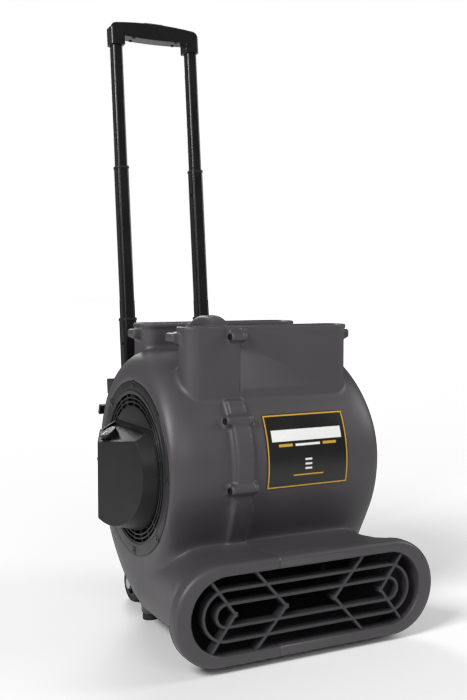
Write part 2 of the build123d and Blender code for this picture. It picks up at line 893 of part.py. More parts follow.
# Hooks on the back of the drum that the cord is wound on
with BuildPart() as cord_hooks:
    for angle in hook_angles:
        root_y, root_z = scroll_surface(angle, 0)
        hook_plane = Plane(
            origin=(drum_left + hook_inset, root_y, root_z),
            x_dir=(1, 0, 0),
            z_dir=(0, -sin(radians(angle)), -cos(radians(angle))),
        )
        with BuildSketch(hook_plane.offset(-hook_width / 2)):
            with BuildLine():
                Polyline(
                    (0, -8),
                    (0, hook_out + hook_thickness),
                    (-hook_wing, hook_out + hook_thickness),
                    (-hook_wing, hook_out),
                    (-hook_thickness, hook_out),
                    (-hook_thickness, -8),
                    close=True,
                )
            make_face()
        extrude(amount=hook_width)
    add(scroll_form(0), mode=Mode.SUBTRACT)
finish(cord_hooks, "cord_hooks")

# Trolley handle: three stages of square tube a side, with collars at the mouths and guides at the feet
handle_sides = (("left", -1), ("right", 1))
grip_base = middle_exposed + inner_exposed
middle_bore = middle_tube - 2 * tube_wall
outer_bore = outer_tube - 2 * tube_wall
bracket_half = outer_tube / 2 + bracket_back


def tube_spots():
    """Centres of the two tubes on a plane square to the handle."""
    return Locations((-tube_spacing / 2, 0), (tube_spacing / 2, 0))


def square_ring(low, high, outer, inner):
    """Pair of square rings round the tube centres, from low to high along the handle."""
    with BuildPart() as rings:
        with BuildSketch(along_handle(low)):
            with tube_spots():
                RectangleRounded(outer, outer, tube_corner * outer / outer_tube)
        extrude(amount=high - low)
        with BuildSketch(along_handle(low)):
            with tube_spots():
                RectangleRounded(inner, inner, tube_corner * inner / outer_tube)
        extrude(amount=high - low, mode=Mode.SUBTRACT)
    return rings.part


def tube(side, size, low, high):
    """One square tube, side -1 or +1 of the middle, from low to high along the handle."""
    with BuildPart() as pipe:
        with BuildSketch(along_handle(low)):
            with Locations((side * tube_spacing / 2, 0)):
                RectangleRounded(size, size, tube_corner * size / outer_tube)
                bore = size - 2 * tube_wall
                RectangleRounded(bore, bore, tube_corner * size / outer_tube - tube_wall, mode=Mode.SUBTRACT)
        extrude(amount=high - low)
    return pipe.part


def nub(side, size, distance, outward):
    """Round lock nub on a tube's outer or inner side face, a distance up the handle."""
    face_x = side * tube_spacing / 2 + outward * side * (size / 2 - tube_wall / 2)
    spot = along_handle(distance).origin + Vector(face_x, 0, 0)
    with BuildPart() as stud:
        with BuildSketch(Plane(origin=spot, x_dir=(0, 1, 0), z_dir=(outward * side, 0, 0))):
            Circle(nub_radius)
        extrude(amount=nub_height + tube_wall / 2)
    return stud.part


def screw_row(radius, start, length, drops):
    """Cylinders square to the handle's back face at both tubes, from start behind the tubes' centres."""
    with BuildPart() as row:
        for drop in drops:
            spot = along_handle(-drop)
            base = spot.origin + spot.y_dir * start
            with BuildSketch(Plane(origin=base, x_dir=(1, 0, 0), z_dir=spot.y_dir)):
                with tube_spots():
                    Circle(radius)
            extrude(amount=length)
    return row.part


bracket_drops = (upper_bracket_drop, lower_bracket_drop)
for name, side in handle_sides:
    with BuildPart() as outer_pipe:
        add(tube(side, outer_tube, -outer_length, 0))
        if side < 0:
            add(nub(side, outer_tube, -nub_drop, 1))
        add(screw_row(small_screw, 0, outer_tube, bracket_drops), mode=Mode.SUBTRACT)
    finish(outer_pipe, "handle_outer_tube_" + name)
    with BuildPart() as middle_pipe:
        add(tube(side, middle_tube, -tube_overlap, middle_exposed))
        add(nub(side, middle_tube, middle_exposed - nub_drop, -1))
    finish(middle_pipe, "handle_middle_tube_" + name)
    with BuildPart() as inner_pipe:
        add(tube(side, inner_tube, middle_exposed - tube_overlap, grip_base + grip_floor))
    finish(inner_pipe, "handle_inner_tube_" + name)

with BuildPart() as outer_collars:
    add(square_ring(0, collar_height, outer_tube + 2 * collar_skin, middle_tube + 2 * running_gap))
    add(square_ring(-2 * collar_height, 0, outer_bore, middle_tube + 2 * running_gap))
finish(outer_collars, "handle_outer_collars")

with BuildPart() as middle_collars:
    collar_base = middle_exposed
    collar_bore = inner_tube + 2 * running_gap
    add(square_ring(collar_base, collar_base + collar_height, middle_tube + 2 * collar_skin, collar_bore))
    add(square_ring(collar_base - 2 * collar_height, collar_base, middle_bore, collar_bore))
finish(middle_collars, "handle_middle_collars")

with BuildPart() as middle_guides:
    guide_base = -tube_overlap
    add(square_ring(guide_base - guide_height, guide_base, outer_bore - 2 * running_gap, inner_tube + 1))
finish(middle_guides, "handle_middle_guides")

with BuildPart() as inner_guides:
    guide_base = middle_exposed - tube_overlap
    guide_bore = inner_tube - 2 * tube_wall
    add(square_ring(guide_base - guide_height, guide_base, middle_bore - 2 * running_gap, guide_bore))
finish(inner_guides, "handle_inner_guides")


def handle_bracket(drop, width, depth):
    """Bar round both outer tubes, with two arms that reach forward to the back of the drum."""
    with BuildPart() as bracket:
        with BuildSketch(along_handle(-drop - bracket_height / 2)):
            RectangleRounded(width, 2 * bracket_half, 6)
            with Locations((-tube_spacing / 2, -depth / 2), (tube_spacing / 2, -depth / 2)):
                Rectangle(bracket_arm, depth)
            with tube_spots():
                RectangleRounded(outer_tube, outer_tube, tube_corner, mode=Mode.SUBTRACT)
        extrude(amount=bracket_height)
        add(scroll_form(0), mode=Mode.SUBTRACT)
        add(screw_row(small_screw, 0, bracket_half + 1, (drop,)), mode=Mode.SUBTRACT)
    return bracket


upper_bracket = handle_bracket(upper_bracket_drop, upper_bracket_width, upper_bracket_depth)
finish(upper_bracket, "handle_upper_bracket")
lower_bracket = handle_bracket(lower_bracket_drop, lower_bracket_width, lower_bracket_depth)
finish(lower_bracket, "handle_lower_bracket")

with BuildPart() as handle_bracket_screws:
    add(screw_row(small_screw, outer_tube / 2 - tube_wall, bracket_back + tube_wall, bracket_drops))
    add(screw_row(small_head, bracket_half, screw_head_height / 2, bracket_drops))
finish(handle_bracket_screws, "handle_bracket_screws")

# Grip: two shells split across the bar, with sockets for the inner tubes
grip_face = along_handle(grip_base)
grip_front = Plane(origin=grip_face.origin, x_dir=(1, 0, 0), z_dir=-grip_face.y_dir)
grip_side = tube_spacing / 2 + grip_leg / 2
grip_inside = tube_spacing / 2 - grip_leg / 2
grip_under = grip_leg_height - grip_bar
link_low = grip_split + button_travel
link_high = link_low + link_thickness
link_width = 6.0
cavity_high = link_high + 1
grip_top = grip_leg_height + grip_arch
grip_screws_at = [(-42, 8.5), (42, 8.5), (-42, -8.5), (42, -8.5)]
grip_screw = 1.5

with BuildPart() as grip_form:
    with BuildSketch(grip_front.offset(-grip_depth / 2)):
        with BuildLine():
            Line((-grip_side, 0), (-grip_side, grip_leg_height))
            ThreePointArc((-grip_side, grip_leg_height), (0, grip_top), (grip_side, grip_leg_height))
            Polyline(
                (grip_side, grip_leg_height), (grip_side, 0), (grip_inside, 0), (grip_inside, grip_under)
            )
            ThreePointArc((grip_inside, grip_under), (0, grip_under - grip_belly), (-grip_inside, grip_under))
            Polyline((-grip_inside, grip_under), (-grip_inside, 0), (-grip_side, 0))
        make_face()
    extrude(amount=grip_depth)
    corners = grip_form.edges().filter_by(Axis(grip_face.origin, grip_face.y_dir))
    fillet(corners.sort_by(Axis(grip_face.origin, grip_face.z_dir))[-2:], 3 * grip_round)
    long_edges = grip_form.faces().filter_by(Axis(grip_face.origin, grip_face.y_dir)).edges()
    top_edges = long_edges.sort_by(Axis(grip_face.origin, grip_face.z_dir))[-6:]
    fillet(top_edges, grip_round)

with BuildPart() as grip_lower:
    add(grip_form.part)
    split(bisect_by=along_handle(grip_base + grip_split), keep=Keep.BOTTOM)
    with BuildSketch(along_handle(grip_base)):
        with tube_spots():
            RectangleRounded(inner_tube, inner_tube, tube_corner * inner_tube / outer_tube)
    extrude(amount=grip_floor, mode=Mode.SUBTRACT)
    with BuildSketch(along_handle(grip_base)):
        with tube_spots():
            Circle(rod_radius + fit_gap)
        with Locations(*grip_screws_at):
            Circle(grip_screw)
    extrude(amount=grip_split, mode=Mode.SUBTRACT)
    with BuildSketch(along_handle(grip_base + grip_split)):
        Circle(spring_radius + 2 * spring_wire)
    extrude(amount=-5, mode=Mode.SUBTRACT)
finish(grip_lower, "grip_lower")

with BuildPart() as grip_upper:
    add(grip_form.part)
    split(bisect_by=along_handle(grip_base + grip_split), keep=Keep.TOP)
    with BuildSketch(along_handle(grip_base + grip_split)):
        Rectangle(tube_spacing + 2 * link_width, link_width + 2)
        Rectangle(button_width + 4, button_depth + 4)
    extrude(amount=cavity_high - grip_split, mode=Mode.SUBTRACT)
    with BuildSketch(along_handle(grip_base + grip_split)):
        RectangleRounded(button_width + 2 * fit_gap, button_depth + 2 * fit_gap, 4)
    extrude(amount=grip_top, mode=Mode.SUBTRACT)
    with BuildSketch(along_handle(grip_base + grip_split)):
        with Locations(*grip_screws_at):
            Circle(grip_screw)
    extrude(amount=8, mode=Mode.SUBTRACT)
finish(grip_upper, "grip_upper")

with BuildPart() as grip_screws:
    with BuildSketch(along_handle(grip_base + grip_under - 1)):
        with Locations(*grip_screws_at):
            Circle(2 * grip_screw)
    extrude(amount=-screw_head_height / 2)
    with BuildSketch(along_handle(grip_base + grip_under - 1)):
        with Locations(*grip_screws_at):
            Circle(grip_screw)
    extrude(amount=grip_split + 8 - grip_under + 1)
    add(grip_lower.part, mode=Mode.SUBTRACT)
finish(grip_screws, "grip_screws")

with BuildPart() as release_button:
    with BuildSketch(along_handle(grip_base + link_high)):
        RectangleRounded(button_width, button_depth, 4)
    extrude(amount=grip_top + button_rise - link_high)
    fillet(release_button.faces().sort_by(Axis(grip_face.origin, grip_face.z_dir))[-1].edges(), 1)
finish(release_button, "release_button")

with BuildPart() as release_rods:
    with BuildSketch(along_handle(grip_base + link_low)):
        Rectangle(tube_spacing + link_width, link_width)
    extrude(amount=link_thickness)
    with BuildSketch(along_handle(middle_exposed)):
        with tube_spots():
            Circle(rod_radius)
    extrude(amount=inner_exposed + link_low)
finish(release_rods, "release_rods")

with BuildPart() as button_spring:
    with BuildLine():
        coil = Helix(spring_pitch, link_low - grip_split + 5 - 2 * spring_wire, spring_radius)
    with BuildSketch(Plane(origin=coil @ 0, z_dir=coil % 0)):
        Circle(spring_wire)
    sweep()
with BuildPart() as placed_spring:
    add(button_spring.part.moved(along_handle(grip_base + grip_split - 5 + spring_wire).location))
finish(placed_spring, "button_spring")

# Wheels on one axle between the lugs
spacer_x = lug_x + lug_thickness / 2
wheel_x = track_outer - road_width
cap_x = track_outer + 0.5
axle_half = cap_x + cap_thickness


def on_axle(side, start, end, outer, inner):
    """Ring on the axle, from start to end out from the middle on one side."""
    with BuildPart() as ring:
        with BuildSketch(across(duct_x + side * start)):
            with Locations((axle_y, axle_z)):
                Circle(outer)
                Circle(inner, mode=Mode.SUBTRACT)
        extrude(amount=side * (end - start))
    return ring.part


with BuildPart() as wheel_axle:
    with BuildSketch(across(duct_x - axle_half)):
        with Locations((axle_y, axle_z)):
            Circle(axle_radius)
    extrude(amount=2 * axle_half)
finish(wheel_axle, "wheel_axle")

with BuildPart() as axle_spacers:
    for name, side in handle_sides:
        add(on_axle(side, spacer_x, wheel_x - 0.5, axle_radius + 3, axle_radius))
finish(axle_spacers, "axle_spacers")

with BuildPart() as axle_caps:
    for name, side in handle_sides:
        add(on_axle(side, cap_x, axle_half, axle_radius + 4, axle_radius))
finish(axle_caps, "axle_caps")

for name, side in handle_sides:
    with BuildPart() as wheel_rim:
        add(on_axle(side, wheel_x, track_outer, 2 * axle_radius, axle_radius + running_gap))
        add(on_axle(side, wheel_x + 8, track_outer - 8, rim_radius, axle_radius + running_gap))
        add(on_axle(side, wheel_x, track_outer, rim_radius, rim_radius - 4))
    finish(wheel_rim, "wheel_rim_" + name)
    with BuildPart() as tyre:
        add(on_axle(side, wheel_x, track_outer, road_radius, rim_radius))
        fillet(tyre.edges().filter_by(GeomType.CIRCLE).sort_by(SortBy.RADIUS)[-2:], 3)
    finish(tyre, "tyre_" + name)

# Rubber feet under the pads
foot_spots = [(duct_x + side * foot_half_track, fan_y + offset_y) for side, offset_y in feet_at]
with BuildPart() as rubber_feet:
    with BuildSketch():
        with Locations(*foot_spots):
            Circle(foot_radius)
    extrude(amount=foot_height)
    with BuildSketch():
        with Locations(*foot_spots):
            Circle(screw_head_radius + running_gap)
    extrude(amount=foot_height / 2, mode=Mode.SUBTRACT)
    with BuildSketch():
        with Locations(*foot_spots):
            Circle(small_screw)
    extrude(amount=foot_height, mode=Mode.SUBTRACT)
finish(rubber_feet, "rubber_feet")

with BuildPart() as foot_screws:
    with BuildSketch(Plane.XY.offset(foot_height / 2 - screw_head_height)):
        with Locations(*foot_spots):
            Circle(screw_head_radius)
    extrude(amount=screw_head_height)
    with BuildSketch(Plane.XY.offset(foot_height / 2)):
        with Locations(*foot_spots):
            Circle(small_screw)
    extrude(amount=foot_height)
finish(foot_screws, "foot_screws")
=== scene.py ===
import json
import logging
import math
from dataclasses import dataclass, field
from enum import Enum

import bmesh
import bpy
import numpy as np
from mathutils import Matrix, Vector
from mathutils.bvhtree import BVHTree


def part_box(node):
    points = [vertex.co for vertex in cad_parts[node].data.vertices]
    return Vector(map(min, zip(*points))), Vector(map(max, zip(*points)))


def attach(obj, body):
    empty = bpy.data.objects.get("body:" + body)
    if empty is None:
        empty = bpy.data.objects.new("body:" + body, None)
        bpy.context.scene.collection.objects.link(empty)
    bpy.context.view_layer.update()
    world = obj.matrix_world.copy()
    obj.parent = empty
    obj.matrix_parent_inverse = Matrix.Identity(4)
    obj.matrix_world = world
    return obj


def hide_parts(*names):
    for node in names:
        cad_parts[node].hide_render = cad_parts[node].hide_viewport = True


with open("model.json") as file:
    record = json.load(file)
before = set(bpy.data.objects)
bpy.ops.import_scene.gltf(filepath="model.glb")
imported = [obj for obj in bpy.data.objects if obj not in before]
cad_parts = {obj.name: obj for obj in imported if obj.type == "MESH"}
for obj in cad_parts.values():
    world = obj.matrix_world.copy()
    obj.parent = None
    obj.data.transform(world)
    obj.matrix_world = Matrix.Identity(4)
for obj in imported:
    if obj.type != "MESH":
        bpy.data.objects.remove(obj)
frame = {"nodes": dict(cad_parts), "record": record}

log = logging.getLogger("air_mover")
MM = 0.001
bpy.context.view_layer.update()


class Weave(Enum):
    """How a finish breaks up its surface."""

    GRAIN = "fine moulded grain"
    SATIN = "smooth moulding"
    PAINT = "orange-peel paint"
    BRUSHED = "brushed metal"
    RUBBER = "dusty rubber"


def linear(hex_colour: str) -> tuple[float, float, float, float]:
    """Turn an sRGB hex colour into linear RGBA.

    Args:
        hex_colour: six hex digits.

    Returns:
        The linear colour with full alpha.
    """
    parts = [int(hex_colour[i:i + 2], 16) / 255 for i in (0, 2, 4)]
    return tuple(p / 12.92 if p <= 0.04045 else ((p + 0.055) / 1.055) ** 2.4 for p in parts) + (1.0,)


def add_node(tree: bpy.types.NodeTree, kind: str, inputs: dict | None = None, **settings: object) -> bpy.types.Node:
    """Add one node to a shader or geometry tree.

    Args:
        tree: the tree to add to.
        kind: the node's type name.
        inputs: socket name or number to a value, or to an output socket to link from.
        settings: properties set on the node.

    Returns:
        The new node.
    """
    node = tree.nodes.new(kind)
    for name, value in settings.items():
        setattr(node, name, value)
    for name, value in (inputs or {}).items():
        if isinstance(value, bpy.types.NodeSocket):
            tree.links.new(value, node.inputs[name])
        else:
            node.inputs[name].default_value = value
    return node


@dataclass(frozen=True)
class Finish:
    """One surface finish, with its colour, gloss and relief."""

    name: str
    colour: str
    roughness: float
    weave: Weave
    grain_mm: float = 0.6
    relief_mm: float = 0.05
    metallic: float = 0.0
    drift: float = 0.10
    edge_mm: float = 0.0
    specular: float = 0.5

    def base(self) -> tuple[bpy.types.Material, bpy.types.NodeTree, bpy.types.Node]:
        """Make the empty material with its shader.

        Returns:
            The material, its tree and its shader node.
        """
        material = bpy.data.materials.new(self.name)
        material.use_nodes = True
        tree = material.node_tree
        tree.nodes.clear()
        shader = add_node(tree, "ShaderNodeBsdfPrincipled")
        add_node(tree, "ShaderNodeOutputMaterial", {"Surface": shader.outputs["BSDF"]})
        shader.inputs["Metallic"].default_value = self.metallic
        shader.inputs["Specular IOR Level"].default_value = self.specular
        material.diffuse_color = linear(self.colour)
        return material, tree, shader

    def relief(self, tree: bpy.types.NodeTree, place: bpy.types.NodeSocket) -> bpy.types.NodeSocket:
        """Build the bump that gives the finish its grain.

        Args:
            tree: the material's tree.
            place: the coordinates the grain is laid on.

        Returns:
            The normal socket.
        """
        scale = 1000.0 / self.grain_mm
        if self.weave is Weave.GRAIN:
            cells = add_node(tree, "ShaderNodeTexVoronoi", {"Vector": place, "Scale": scale * 0.7})
            grain = add_node(tree, "ShaderNodeTexNoise", {"Vector": place, "Scale": scale, "Detail": 3.0})
            height = add_node(
                tree, "ShaderNodeMath", {0: cells.outputs["Distance"], 1: grain.outputs["Fac"]}, operation="ADD"
            ).outputs[0]
        else:
            detail = {Weave.SATIN: 2.0, Weave.PAINT: 1.0, Weave.BRUSHED: 4.0, Weave.RUBBER: 5.0}[self.weave]
            height = add_node(
                tree, "ShaderNodeTexNoise", {"Vector": place, "Scale": scale, "Detail": detail}
            ).outputs["Fac"]
        bump = add_node(
            tree, "ShaderNodeBump", {"Height": height, "Distance": self.relief_mm * MM, "Strength": 0.6}
        )
        if self.edge_mm > 0:
            soft = add_node(tree, "ShaderNodeBevel", {"Radius": self.edge_mm * MM}, samples=4)
            tree.links.new(soft.outputs["Normal"], bump.inputs["Normal"])
        return bump.outputs["Normal"]

    def build(self) -> bpy.types.Material:
        """Build the finished material.

        Returns:
            The material.
        """
        material, tree, shader = self.base()
        place = add_node(tree, "ShaderNodeTexCoord").outputs["Object"]
        if self.weave is Weave.BRUSHED:
            place = add_node(tree, "ShaderNodeMapping", {"Vector": place, "Scale": (0.08, 1.0, 1.0)}).outputs["Vector"]
        cloud = add_node(tree, "ShaderNodeTexNoise", {"Vector": place, "Scale": 14.0, "Detail": 5.0}).outputs["Fac"]
        speck = add_node(
            tree, "ShaderNodeTexNoise", {"Vector": place, "Scale": 400.0 / self.grain_mm, "Detail": 2.0}
        ).outputs["Fac"]
        worn = add_node(
            tree, "ShaderNodeMath", {0: cloud, 1: speck}, operation="ADD"
        ).outputs[0]
        blend = add_node(
            tree,
            "ShaderNodeMapRange",
            {"Value": worn, "From Min": 0.6, "From Max": 1.4, "To Min": 0.0, "To Max": 1.0},
        ).outputs[0]
        colour = linear(self.colour)
        dark = tuple(c * (1 - self.drift) for c in colour[:3]) + (1.0,)
        light = tuple(min(1.0, c * (1 + self.drift)) for c in colour[:3]) + (1.0,)
        mixed = add_node(tree, "ShaderNodeMix", {0: blend, 6: dark, 7: light}, data_type="RGBA").outputs[2]
        tree.links.new(mixed, shader.inputs["Base Color"])
        rough = add_node(
            tree,
            "ShaderNodeMapRange",
            {
                "Value": cloud,
                "From Min": 0.3,
                "From Max": 0.7,
                "To Min": max(0.03, self.roughness - 0.05),
                "To Max": min(1.0, self.roughness + 0.05),
            },
        ).outputs[0]
        tree.links.new(rough, shader.inputs["Roughness"])
        tree.links.new(self.relief(tree, place), shader.inputs["Normal"])
        return material


@dataclass
class Wardrobe:
    """Every finish of the object, built once."""

    # Rotomoulded polyethylene: a dull grey skin with fine grain and soft highlights.
    housing: Finish = Finish("charcoal_moulding", "3f3c3f", 0.47, Weave.GRAIN, 0.9, 0.035, drift=0.05, edge_mm=1.5)
    # Injection-moulded ABS: near black, slightly grained, a broad weak highlight.
    black: Finish = Finish("black_moulding", "0b0b0c", 0.42, Weave.GRAIN, 0.7, 0.03, drift=0.10, edge_mm=0.8)
    # Glass-filled nylon: dark grey bars, duller than the housing.
    grille: Finish = Finish("grille_moulding", "323033", 0.5, Weave.GRAIN, 0.8, 0.04, drift=0.10, edge_mm=0.6)
    # Injection-moulded ABS: deep black with a satin sheen.
    hub: Finish = Finish("hub_moulding", "0c0b0d", 0.42, Weave.GRAIN, 0.8, 0.03, drift=0.08, edge_mm=1.5, specular=0.35)
    # Powder-coated steel tube: black with a faint orange peel and a clear highlight.
    tube: Finish = Finish("black_tube_paint", "070708", 0.24, Weave.PAINT, 6.0, 0.03, drift=0.15, edge_mm=0.5)
    # Polished polypropylene: black with a narrow highlight.
    gloss: Finish = Finish("gloss_black_moulding", "0c0c0d", 0.24, Weave.SATIN, 3.0, 0.02, drift=0.1, edge_mm=1.0)
    # Zinc-plated steel: pale metal with short brush marks.
    zinc: Finish = Finish("zinc_plate", "b4b6b8", 0.32, Weave.BRUSHED, 0.5, 0.02, 1.0, 0.12)
    # Cast aluminium: grey metal with a coarse matt surface.
    alloy: Finish = Finish("cast_alloy", "9b9d9f", 0.45, Weave.BRUSHED, 1.2, 0.05, 1.0, 0.1)
    # Stacked electrical steel: dull grey metal.
    laminate: Finish = Finish("stator_steel", "6f7073", 0.4, Weave.BRUSHED, 0.5, 0.05, 1.0, 0.15)
    # Black oxide steel: dark metal with a weak shine.
    black_steel: Finish = Finish("black_oxide", "29292b", 0.35, Weave.BRUSHED, 0.6, 0.02, 0.8, 0.15)
    # Ground bearing steel: bright and smooth.
    chrome: Finish = Finish("ground_steel", "c9cacc", 0.15, Weave.BRUSHED, 0.4, 0.01, 1.0, 0.05)
    # Moulded rubber: black, matt and dusty.
    rubber: Finish = Finish("black_rubber", "161617", 0.75, Weave.RUBBER, 1.2, 0.08, drift=0.2, edge_mm=0.8)
    # Enamelled motor shell: dark with a light orange peel.
    paint: Finish = Finish("motor_paint", "232427", 0.35, Weave.PAINT, 4.0, 0.04, drift=0.1, edge_mm=0.8)
    # Laminated vinyl: smooth black film with a clear highlight.
    decal: Finish = Finish("label_film", "0c0c0d", 0.3, Weave.SATIN, 4.0, 0.01, drift=0.15)
    # Screen-printed ochre ink.
    gold: Finish = Finish("gold_print", "c69a2f", 0.35, Weave.SATIN, 2.0, 0.005, drift=0.06)
    # Screen-printed white ink.
    white: Finish = Finish("white_print", "e2e2df", 0.4, Weave.SATIN, 2.0, 0.005, drift=0.03)
    # Hot-stamped foil on the pointer: bright metal.
    silver: Finish = Finish("silver_pointer", "d8d9da", 0.25, Weave.BRUSHED, 0.5, 0.01, 0.9, 0.05)
    made: dict = field(default_factory=dict)

    def get(self, name: str) -> bpy.types.Material:
        """Return a finish by name, building it the first time.

        Args:
            name: the field's name.

        Returns:
            The material.
        """
        if name not in self.made:
            self.made[name] = getattr(self, name).build()
        return self.made[name]


def mesh_object(name: str, vertices: object, faces: list, material: bpy.types.Material) -> bpy.types.Object:
    """Make a smooth-shaded mesh object from vertices and faces, with its normals turned out.

    Args:
        name: the piece's name.
        vertices: points in metres.
        faces: lists of vertex numbers.
        material: its finish.

    Returns:
        The new object, linked to the scene.
    """
    mesh = bpy.data.meshes.new(name)
    mesh.from_pydata([tuple(v) for v in vertices], [], faces)
    build = bmesh.new()
    build.from_mesh(mesh)
    bmesh.ops.recalc_face_normals(build, faces=build.faces)
    build.to_mesh(mesh)
    build.free()
    mesh.materials.append(material)
    piece = bpy.data.objects.new(name, mesh)
    bpy.context.scene.collection.objects.link(piece)
    shade(piece)
    return piece


def shade(piece: bpy.types.Object, angle: float = 32.0) -> None:
    """Shade a piece smoothly, keeping edges sharper than an angle crisp.

    Args:
        piece: the mesh object.
        angle: the crease angle in degrees.
    """
    mesh = piece.data
    mesh.polygons.foreach_set("use_smooth", [True] * len(mesh.polygons))
    build = bmesh.new()
    build.from_mesh(mesh)
    limit = math.radians(angle)
    for edge in build.edges:
        edge.smooth = not (len(edge.link_faces) == 2 and edge.calc_face_angle(0) > limit)
    build.to_mesh(mesh)
    build.free()


def settle(piece: bpy.types.Object) -> bpy.types.Object:
    """Turn a piece's evaluated result into its plain mesh and drop its modifiers.

    Args:
        piece: the object with modifiers.

    Returns:
        The same object.
    """
    shown = piece.evaluated_get(bpy.context.evaluated_depsgraph_get())
    mesh = bpy.data.meshes.new_from_object(shown)
    piece.modifiers.clear()
    piece.data = mesh
    return piece


def turned(
    name: str,
    profile: list,
    centre: tuple[float, float],
    material: bpy.types.Material,
    steps: int = 96,
) -> bpy.types.Object:
    """Turn a closed profile about an axis along X.

    Args:
        name: the piece's name.
        profile: (x, radius) points in mm, in order round the section.
        centre: the axis's y and z in mm.
        material: its finish.
        steps: how many steps go round.

    Returns:
        The turned piece.
    """
    count = len(profile)
    angles = np.linspace(0, 2 * math.pi, steps, endpoint=False)
    points = [
        ((x) * MM, (centre[0] + r * math.cos(a)) * MM, (centre[1] + r * math.sin(a)) * MM)
        for a in angles
        for x, r in profile
    ]
    faces = [
        [
            i * count + j,
            i * count + (j + 1) % count,
            ((i + 1) % steps) * count + (j + 1) % count,
            ((i + 1) % steps) * count + j,
        ]
        for i in range(steps)
        for j in range(count)
    ]
    return mesh_object(name, points, faces, material)


def soft_section(low_x: float, high_x: float, inner: float, outer: float, round_mm: float, steps: int = 3) -> list:
    """Profile of a ring with rounded corners, as (x, radius) points in mm.

    Args:
        low_x: lowest x.
        high_x: highest x.
        inner: inner radius.
        outer: outer radius.
        round_mm: corner radius.
        steps: steps in each corner.

    Returns:
        The profile's points.
    """
    r = min(round_mm, (high_x - low_x) / 2.01, (outer - inner) / 2.01)
    corners = [
        (high_x - r, outer - r, 0),
        (low_x + r, outer - r, 90),
        (low_x + r, inner + r, 180),
        (high_x - r, inner + r, 270),
    ]
    points = []
    for cx, cr, start in corners:
        for i in range(steps + 1):
            a = math.radians(start + 90 * i / steps)
            points.append((cx + r * math.cos(a), cr + r * math.sin(a)))
    return points


def soft_block(
    size: tuple, centre: tuple, material: bpy.types.Material, name: str, round_mm: float = 0.5
) -> bpy.types.Object:
    """Block with bevelled edges.

    Args:
        size: x, y and z in mm.
        centre: its middle in mm.
        material: its finish.
        name: the piece's name.
        round_mm: edge radius.

    Returns:
        The block.
    """
    build = bmesh.new()
    bmesh.ops.create_cube(build, size=1.0)
    for vertex in build.verts:
        vertex.co = Vector([(vertex.co[i] * size[i] + centre[i]) * MM for i in range(3)])
    bmesh.ops.bevel(build, geom=build.edges[:], offset=round_mm * MM, segments=2, profile=0.5, affect="EDGES")
    mesh = bpy.data.meshes.new(name)
    build.to_mesh(mesh)
    build.free()
    mesh.materials.append(material)
    piece = bpy.data.objects.new(name, mesh)
    bpy.context.scene.collection.objects.link(piece)
    shade(piece)
    return piece


@dataclass
class RingArray:
    """Geometry Nodes array that repeats one piece evenly round an axis along X."""

    name: str
    count: int
    centre: tuple[float, float]
    start_deg: float = 0.0

    def tree(self) -> bpy.types.GeometryNodeTree:
        """Build the array's tree.

        Returns:
            The tree, with inputs Geometry, Count, Start, Centre and Finish.
        """
        tree = bpy.data.node_groups.new(self.name, "GeometryNodeTree")
        for label, kind in (
            ("Geometry", "NodeSocketGeometry"),
            ("Count", "NodeSocketInt"),
            ("Start", "NodeSocketFloat"),
            ("Centre", "NodeSocketVector"),
            ("Finish", "NodeSocketMaterial"),
        ):
            tree.interface.new_socket(label, in_out="INPUT", socket_type=kind)
        tree.interface.new_socket("Geometry", in_out="OUTPUT", socket_type="NodeSocketGeometry")
        given = add_node(tree, "NodeGroupInput").outputs
        points = add_node(
            tree, "GeometryNodeMeshLine", {"Count": given["Count"], "Offset": (0.0, 0.0, 0.0)}
        ).outputs["Mesh"]
        index = add_node(tree, "GeometryNodeInputIndex").outputs[0]
        step = add_node(tree, "ShaderNodeMath", {0: 2 * math.pi, 1: given["Count"]}, operation="DIVIDE").outputs[0]
        angle = add_node(
            tree, "ShaderNodeMath", {0: index, 1: step, 2: given["Start"]}, operation="MULTIPLY_ADD"
        ).outputs[0]
        turn = add_node(tree, "ShaderNodeCombineXYZ", {"X": angle}).outputs[0]
        copies = add_node(
            tree,
            "GeometryNodeInstanceOnPoints",
            {"Points": points, "Instance": given["Geometry"], "Rotation": turn},
        ).outputs[0]
        real = add_node(tree, "GeometryNodeRealizeInstances", {"Geometry": copies}).outputs[0]
        placed = add_node(
            tree, "GeometryNodeTransform", {"Geometry": real, "Translation": given["Centre"]}
        ).outputs[0]
        dressed = add_node(
            tree, "GeometryNodeSetMaterial", {"Geometry": placed, "Material": given["Finish"]}
        ).outputs[0]
        add_node(tree, "NodeGroupOutput", {"Geometry": dressed})
        return tree

    def repeat(self, piece: bpy.types.Object, material: bpy.types.Material) -> bpy.types.Object:
        """Repeat a piece that is modelled about the X axis through the origin.

        Args:
            piece: the piece to repeat.
            material: the finish of every copy.

        Returns:
            The array as one plain mesh.
        """
        modifier = piece.modifiers.new("array", "NODES")
        tree = self.tree()
        modifier.node_group = tree
        values = {
            "Count": self.count,
            "Start": math.radians(self.start_deg),
            "Centre": (0.0, self.centre[0] * MM, self.centre[1] * MM),
            "Finish": material,
        }
        for item in tree.interface.items_tree:
            if item.in_out == "INPUT" and item.name in values:
                modifier[item.identifier] = values[item.name]
        settle(piece)
        piece.name = self.name
        return piece


def join(name: str, pieces: list) -> bpy.types.Object:
    """Join plain pieces into one mesh object.

    Args:
        name: the joined piece's name.
        pieces: mesh objects with nothing but their meshes.

    Returns:
        The joined object.
    """
    with bpy.context.temp_override(active_object=pieces[0], selected_editable_objects=pieces, object=pieces[0]):
        bpy.ops.object.join()
    pieces[0].name = name
    return pieces[0]


